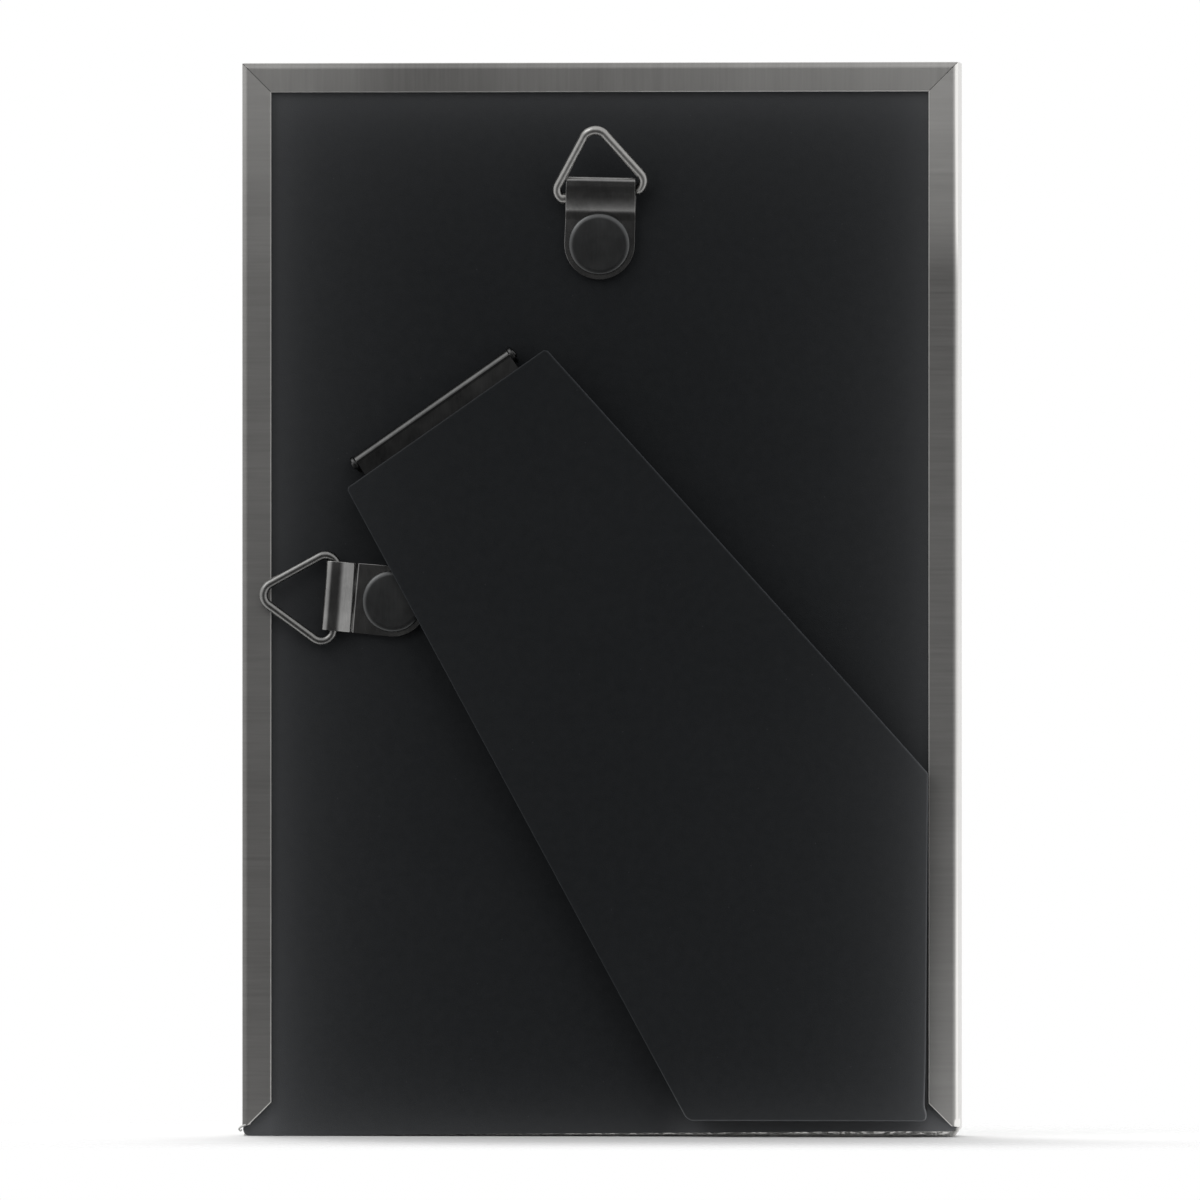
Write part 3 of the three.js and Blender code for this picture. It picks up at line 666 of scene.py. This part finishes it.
# The outline in X and Z, from the foot's corner at +X on round.
def legOutline():
    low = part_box("leg_cover")[0] + Vector((leg["trim"], 0, 0))
    axis = joints["leg_hinge"]["axis"]
    slope = math.atan2(-axis[2], axis[0])
    pin = Vector(joints["leg_hinge"]["pos_m"])
    along = Vector((math.cos(slope), 0, -math.sin(slope)))
    down = Vector((-math.sin(slope), 0, -math.cos(slope)))
    near = pin + along * leg["near"] + down * leg["drop"]
    far = pin - along * leg["far"] + down * leg["drop"]
    heel = near.x - (near.z - low.z) * math.tan(slope - math.radians(leg["flareNear"]))
    fall = 1 / math.tan(slope + math.radians(leg["flareFar"]))
    shoulder = far.z - (far.x - low.x) * fall
    return [
        (heel, low.z), (near.x, near.z), (far.x, far.z),
        (low.x + leg["worn"], shoulder + leg["worn"] * fall), (low.x, shoulder - leg["sag"]),
        *((low.x + inward * mm, z * mm) for z, inward in leg["slant"]),
        (low.x + leg["pinch"] / 2, low.z + leg["pinchUp"]), (low.x + leg["pinch"], low.z),
    ]


def makeLeg():
    low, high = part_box("leg_cover")
    corners = legOutline()
    bm = prism(corners, low.y, high.y)
    roundCorners(bm, corners, [radius * mm for radius in leg["radii"]])
    piece = made("leg-velvet", bm, legVelvet)
    softened(piece, leg["soft"], 4)
    return dressed(markRim(piece), "leg", "flock", "leg_cover", "leg_board")


makePanel()
makeLeg()
print("panel and leg made")

hinge = {
    "bore": 0.55 * mm, "sheet": 0.45 * mm, "leafLength": 13 * mm, "leafWidth": 27 * mm, "wrap": 285,
    "pin": 0.45 * mm, "head": 0.66 * mm, "headHeight": 0.35 * mm, "over": 28.2 * mm,
    "dome": [(1, 0), (1, 0.35), (0.92, 0.66), (0.7, 0.9), (0, 1)],  # of the head, in its radius and height
    "edge": 0.06 * mm, "rivetEdge": 0.05 * mm,
}


def hingePlace():
    axis = joints["leg_hinge"]["axis"]
    slope = math.atan2(-axis[2], axis[0])
    return Matrix.Translation(joints["leg_hinge"]["pos_m"]) @ Matrix.Rotation(slope, 4, "Y")


# The leaf and its barrel are one sheet, rolled round the pin.
def makeLeaf():
    middle = hinge["bore"] + hinge["sheet"] / 2
    bm = bmesh.new()
    start = bm.verts.new((-hinge["leafWidth"] / 2, middle, 0))
    tail = bm.verts.new((-hinge["leafWidth"] / 2, middle, -hinge["leafLength"]))
    bmesh.ops.spin(
        bm, geom=[start], cent=(0, 0, 0), axis=(1, 0, 0), angle=math.radians(hinge["wrap"]), steps=32,
    )
    bm.edges.new((start, tail))
    pulled = bmesh.ops.extrude_edge_only(bm, edges=bm.edges[:])
    bmesh.ops.translate(bm, verts=movedVerts(pulled), vec=(hinge["leafWidth"], 0, 0))
    piece = made("hinge-barrel", bm, hingeSteel)
    worked(piece, "SOLIDIFY", thickness=hinge["sheet"], offset=0)
    softened(piece, hinge["edge"])
    piece.data.transform(hingePlace())
    return dressed(markRim(piece), "leg", "hinge_steel", "hinge_leaf")


def makePin():
    end = hinge["over"] / 2
    head, height, pin = hinge["head"], hinge["headHeight"], hinge["pin"]
    half = [(pin, 0), (pin, end)] + [(head * across, end + height * up) for across, up in hinge["dome"]]
    profile = [(radius, -at) for radius, at in reversed(half[1:])] + half[1:]
    bm = turned(profile, 32)
    bmesh.ops.transform(bm, matrix=hingePlace() @ Matrix.Rotation(quarter, 4, "Z"), verts=bm.verts[:])
    return dressed(made("hinge-pin", bm, hingeSteel), "panel", "hinge_steel", "hinge_pin")


makeLeaf()
makePin()
refined("hinge_base", "hinge-ears", "panel", "hinge_steel", hingeSteel, hinge["edge"])
refined("leaf_rivet_1", "leaf-rivet-1", "leg", "hinge_steel", hingeSteel, hinge["rivetEdge"])
refined("leaf_rivet_2", "leaf-rivet-2", "leg", "hinge_steel", hingeSteel, hinge["rivetEdge"])
print("hinge made")

wire = {
    "height": 12.02 * mm, "baseRadius": 1.75 * mm, "apexRadius": 1.85 * mm, "butt": 0.3 * mm,
    "sides": 28, "runSteps": 14, "cornerSteps": 16, "apexSteps": 20,
    "hidden": 4.2 * mm, "bowEnd": 6 * mm,  # between these the base wire bows out of the strap's line
    "baseTop": 1.2 * mm, "riseEnd": 6 * mm,  # how high the base is, and what stands off the panel
}
rings = {
    "top": {
        "radius": 0.68 * mm, "halfBase": 7.8 * mm, "lift": 27, "turn": 2.6, "lean": -0.045,
        "aside": 0.18 * mm, "drop": 0.5 * mm, "rise": 0.33 * mm,
    },
    "side": {
        "radius": 0.63 * mm, "halfBase": 7.69 * mm, "lift": 4, "turn": 0.0, "lean": 0.0,
        "aside": 0.0, "drop": 0.0, "rise": 0.0,
    },
}


def ringPlace(joint, lift):
    across = -Vector(joints[joint]["axis"])
    return (
        Matrix.Translation(joints[joint]["pos_m"])
        @ Matrix.Rotation(math.atan2(-across.z, across.x), 4, "Y")
        @ Matrix.Rotation(-math.radians(lift), 4, "X")
    )


# The bent wire isn't quite regular: outside the strap it drops, turns and leans a little, and its
# lower part stands off the panel.
def bentByHand(point, shape):
    reach = (abs(point.x) - wire["hidden"]) / (wire["bowEnd"] - wire["hidden"])
    reach = max(0.0, min(1.0, reach if point.z < wire["baseTop"] else 1.0))
    free = reach * reach * (3 - 2 * reach)
    rolled = Matrix.Rotation(math.radians(shape["turn"]), 3, "Y") @ point
    rise = shape["rise"] * max(0.0, 1 - point.z / wire["riseEnd"])
    moved = rolled + Vector((shape["aside"] + shape["lean"] * point.z, rise, -shape["drop"]))
    return point.lerp(moved, free)


# The wire is drawn from the middle of the base on round, and its two ends butt there.
def makeRing(node, joint, body, shape, finish):
    base = math.atan2(wire["height"], shape["halfBase"])  # the slope of the long sides
    low, high = wire["baseRadius"], wire["apexRadius"]
    centre = shape["halfBase"] - low / math.tan(base / 2)
    apex = Vector((0, 0, wire["height"] - high / math.cos(base)))
    outward = Vector((math.sin(base), 0, math.cos(base)))
    run = (apex + outward * high - Vector((centre, 0, low)) - outward * low).length
    upward = Vector((-math.cos(base), 0, math.sin(base)))
    bm = bmesh.new()
    bmesh.ops.create_circle(bm, cap_ends=True, segments=wire["sides"], radius=shape["radius"])
    bmesh.ops.transform(
        bm, matrix=Matrix.Translation((wire["butt"] / 2, 0, 0)) @ Matrix.Rotation(quarter, 4, "Y"),
        verts=bm.verts[:],
    )

    def pull(loop, way):
        grown = bmesh.ops.extrude_edge_only(bm, edges=loop)
        verts = movedVerts(grown)
        bmesh.ops.translate(bm, verts=verts, vec=way)
        edges = [item for item in grown["geom"] if isinstance(item, bmesh.types.BMEdge)]
        return [edge for edge in edges if set(edge.verts) <= set(verts)]

    def bend(loop, at, angle, steps):
        grown = bmesh.ops.spin(bm, geom=loop, cent=at, axis=(0, -1, 0), angle=angle, steps=steps)
        return [item for item in grown["geom_last"] if isinstance(item, bmesh.types.BMEdge)]

    steps, cornerSteps = wire["runSteps"], wire["cornerSteps"]
    stride = ((centre - wire["butt"] / 2) / steps, 0, 0)
    loop = bm.edges[:]
    for step in range(steps):
        loop = pull(loop, stride)
    loop = bend(loop, (centre, 0, low), math.pi - base, cornerSteps)
    loop = pull(loop, upward * run)
    loop = bend(loop, apex, 2 * base, wire["apexSteps"])
    loop = pull(loop, Vector((upward.x, 0, -upward.z)) * run)
    loop = bend(loop, (-centre, 0, low), math.pi - base, cornerSteps)
    for step in range(steps):
        loop = pull(loop, stride)
    bmesh.ops.contextual_create(bm, geom=loop)
    bmesh.ops.remove_doubles(bm, verts=bm.verts[:], dist=weld)
    bmesh.ops.recalc_face_normals(bm, faces=bm.faces[:])
    for vert in bm.verts:
        vert.co = bentByHand(vert.co, shape)
    bmesh.ops.transform(bm, matrix=ringPlace(joint, shape["lift"]), verts=bm.verts[:])
    return dressed(made(node.replace("_", "-") + "-wire", bm, finish, 50), body, "bright_steel", node)


makeRing("top_hanger_ring", "top_ring_swing", "top_ring", rings["top"], litPlatedWire)
makeRing("side_hanger_ring", "side_ring_swing", "side_ring", rings["side"], shadedPlatedWire)
print("rings made")

strap = {
    "sheet": 0.45 * mm, "width": 10.25 * mm, "foldWidth": 10 * mm, "height": 2.7 * mm, "planEnd": 11 * mm,
    "innerFold": 0.85 * mm, "lean": 0.12 * mm, "edge": 0.12 * mm, "gap": 0.025 * mm,
}
# The upper layer comes down in two slopes, from the brow over the knee to the foot beside the rivet.
straps = {
    "top_hanger": {
        "turn": -1.3, "reach": 9.8 * mm, "outerFold": 0.6 * mm,
        "brow": 7.9 * mm, "knee": 5.95 * mm, "drop": 0.71 * mm, "foot": 4.25 * mm,
        "browEase": 0.5 * mm, "kneeEase": 1.1 * mm, "footEase": 0.85 * mm,
    },
    "side_hanger": {
        "turn": 85.5, "reach": 10.1 * mm, "outerFold": 1 * mm,
        "brow": 7.75 * mm, "knee": 5.95 * mm, "drop": 1.15 * mm, "foot": 5.6 * mm,
        "browEase": 0.45 * mm, "kneeEase": 0.2 * mm, "footEase": 0.32 * mm,
    },
}
rivet = {
    "radius": 4.43 * mm, "height": 0.8 * mm, "dome": 0.62 * mm, "domeDrop": 0.16 * mm, "bevel": 0.14 * mm,
    "shank": 1.5 * mm, "domeSteps": (0, 0.2, 0.4, 0.6, 0.8, 1), "brow": (0.35, 0.45), "brim": 1.2,
}


# Where a hanger's rivet stands on the panel.
def hangerPlace(prefix, turn):
    low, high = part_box(prefix + "_rivet")
    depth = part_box("backing_cover")[1].y
    centre = ((low.x + high.x) / 2, depth, (low.z + high.z) / 2)
    return Matrix.Translation(centre) @ Matrix.Rotation(math.radians(turn), 4, "Y")


# The strap's outline seen from the back: a round tail that tapers a little to the fold.
def strapPlan():
    bm = bmesh.new()
    half, foldHalf = strap["width"] / 2, strap["foldWidth"] / 2
    start = bm.verts.new((-half, -mm, 0))
    arc = bmesh.ops.spin(bm, geom=[start], cent=(0, -mm, 0), axis=(0, -1, 0), angle=math.pi, steps=40)
    end = [item for item in arc["geom_last"] if isinstance(item, bmesh.types.BMVert)][0]
    right = bm.verts.new((foldHalf - strap["lean"], -mm, strap["planEnd"]))
    left = bm.verts.new((-foldHalf - strap["lean"], -mm, strap["planEnd"]))
    for pair in ((end, right), (right, left), (left, start)):
        bm.edges.new(pair)
    filled = bmesh.ops.contextual_create(bm, geom=bm.edges[:])
    pulled = bmesh.ops.extrude_face_region(bm, geom=filled["faces"])
    bmesh.ops.translate(bm, verts=movedVerts(pulled), vec=(0, strap["height"] + 2 * mm, 0))
    bmesh.ops.recalc_face_normals(bm, faces=bm.faces[:])
    return bm


def makeStrap(prefix):
    own = straps[prefix]
    low = strap["sheet"] / 2
    upper = 3 * low + strap["gap"]
    top = strap["height"] - low
    end = own["reach"] - low
    brow, knee, foot = (top, own["brow"]), (top - own["drop"], own["knee"]), (upper, own["foot"])
    chain = [(low, -strap["width"]), (low, end), (top, end), brow, knee, foot, (upper, -strap["width"])]
    folds = [
        ((low, end), strap["innerFold"]), ((top, end), own["outerFold"]),
        (brow, own["browEase"]), (knee, own["kneeEase"]), (foot, own["footEase"]),
    ]
    piece = made(prefix.replace("_", "-") + "-strap", pulledChain(chain, strap["width"] + mm, folds), darkNickel)
    worked(piece, "SOLIDIFY", thickness=strap["sheet"], offset=0, use_even_offset=True)
    carved(piece, made("plan", strapPlan(), darkNickel), "INTERSECT")
    softened(piece, strap["edge"], 2, 50)
    piece.data.transform(hangerPlace(prefix, own["turn"]))
    return dressed(markRim(piece, 2), "panel", "dark_nickel", prefix + "_strap")


def makeRivet(prefix):
    seat = 2 * strap["sheet"] + strap["gap"]
    head = seat + rivet["height"]
    radius, dome, drop, bevel = rivet["radius"], rivet["dome"], rivet["domeDrop"], rivet["bevel"]
    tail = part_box(prefix + "_rivet")[0].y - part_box("backing_cover")[1].y
    edge = head - drop
    across, down = rivet["brow"]
    curve = [(radius - bevel - dome * (1 - at), head - drop * at ** 2) for at in rivet["domeSteps"]]
    bm = turned([(0, head)] + curve + [
        (radius - bevel * across, edge - bevel * down), (radius, edge - bevel * rivet["brim"]), (radius, seat),
        (rivet["shank"], seat), (rivet["shank"], tail), (0, tail),
    ], 96)
    bmesh.ops.transform(bm, matrix=hangerPlace(prefix, straps[prefix]["turn"]), verts=bm.verts[:])
    piece = made(prefix.replace("_", "-") + "-head", bm, blackNickel, 50)
    return dressed(piece, "panel", "dark_nickel", prefix + "_rivet")


for prefix in straps:
    makeStrap(prefix)
    makeRivet(prefix)

print("hangers made")

studio = {
    "distance": 3.0, "azimuth": 184.1, "viewWidth": 173.85 * mm, "height": 77.68 * mm, "aside": -0.11 * mm,
    "clipEnd": 60.0,
    "cameraSide": 0.075, "darkTilt": 20, "darkFrom": 0.93, "lightFrom": 0.5, "upward": 0.2, "sideways": 0.1,
    "floorFull": 0.02, "floorEnd": 0.085, "floorRim": 0.01, "floorDark": (0.65,) * 3, "floorLight": (0.67,) * 3,
}
lamps = {  # place, size, power, and whether it shows in the metal
    "key": ((0.95, 0.75, 1.1), (0.9, 0.9), 4, True),
    "overhead": ((0.15, -0.45, 1.2), (0.5, 0.35), 8, False),
}


# A pale table top round the object, which fades into the white behind it.
def makeFloor():
    bm = bmesh.new()
    radius = halfWidth + studio["floorEnd"] + studio["floorRim"]
    bmesh.ops.create_circle(bm, cap_ends=True, segments=96, radius=radius)
    f = Finish("pale floor", Metallic=0.0, Roughness=0.9, Specular_IOR_Level=0.1)
    f.paint(Base_Color=f.tint(studio["floorDark"], studio["floorLight"], f.noise(3, 2)))
    beside = (f.axis("X").size() - halfWidth).largest(0)
    away = f.node("CombineXYZ", {}, {0: beside, 1: f.axis("Y"), 2: 0})
    distance = f.node("VectorMath", {"operation": "LENGTH"}, {0: away}, "Value")
    f.paint(Alpha=f.eased(distance, studio["floorEnd"], studio["floorFull"]))
    made("floor", bm, f.material)


# White all round but for the dark side that the camera stands on, as in a light tent.
def makeWorld():
    world = bpy.data.worlds.new("light tent")
    bpy.context.scene.world = world
    world.use_nodes = True
    g = Graph(world.node_tree)
    way = g.node("TexCoord", {}, {}, "Generated")
    x, y, z = (g.node("SeparateXYZ", {}, {0: way}, name) for name in "XYZ")
    tilt = math.radians(studio["darkTilt"])
    front = g.eased(y * math.cos(tilt) - z * math.sin(tilt), studio["lightFrom"], studio["darkFrom"])
    level = 1 + z * studio["upward"] + x * studio["sideways"]
    level = level * (1 - front) + front * studio["cameraSide"]
    light = world.node_tree.nodes["Background"]
    g.feed(light.inputs["Strength"], level)
    light.inputs["Color"].default_value = (1, 1, 1, 1)
    white = g.node("Background", {}, {"Color": (1, 1, 1, 1), "Strength": 1.0})
    camera, glossy, through = (
        g.node("LightPath", {}, {}, "Is " + kind + " Ray") for kind in ("Camera", "Glossy", "Transmission")
    )
    seen = camera.largest(through).largest(glossy * (1 - front))
    mixed = g.node("MixShader", {}, {0: seen, 1: Signal(g, light.outputs[0]), 2: white})
    g.feed(world.node_tree.nodes["World Output"].inputs["Surface"], mixed)


def makeLamp(name, place, size, power, mirrored):
    data = bpy.data.lights.new(name, "AREA")
    data.shape = "RECTANGLE"
    data.size, data.size_y = size
    data.energy = power
    lamp = bpy.data.objects.new(name, data)
    bpy.context.scene.collection.objects.link(lamp)
    lamp.location = place
    target = Vector((0, 0, halfHeight))
    lamp.rotation_euler = (target - lamp.location).to_track_quat("-Z", "Y").to_euler()
    lamp.visible_camera = False
    lamp.visible_glossy = mirrored


def makeCamera():
    data = bpy.data.cameras.new("camera")
    data.lens = data.sensor_width * studio["distance"] / studio["viewWidth"]
    data.clip_end = studio["clipEnd"]
    camera = bpy.data.objects.new("camera", data)
    bpy.context.scene.collection.objects.link(camera)
    turn = math.radians(studio["azimuth"])
    back = Vector((math.sin(turn), -math.cos(turn), 0))
    side = Vector((math.cos(turn), math.sin(turn), 0))
    target = Vector((0, 0, studio["height"])) + side * studio["aside"]
    camera.location = target + back * studio["distance"]
    camera.rotation_euler = (-back).to_track_quat("-Z", "Y").to_euler()
    bpy.context.scene.camera = camera


makeFloor()
makeWorld()
for name, values in lamps.items():
    makeLamp(name, *values)
makeCamera()
bpy.context.scene.view_settings.view_transform = "Standard"
print("stage made")
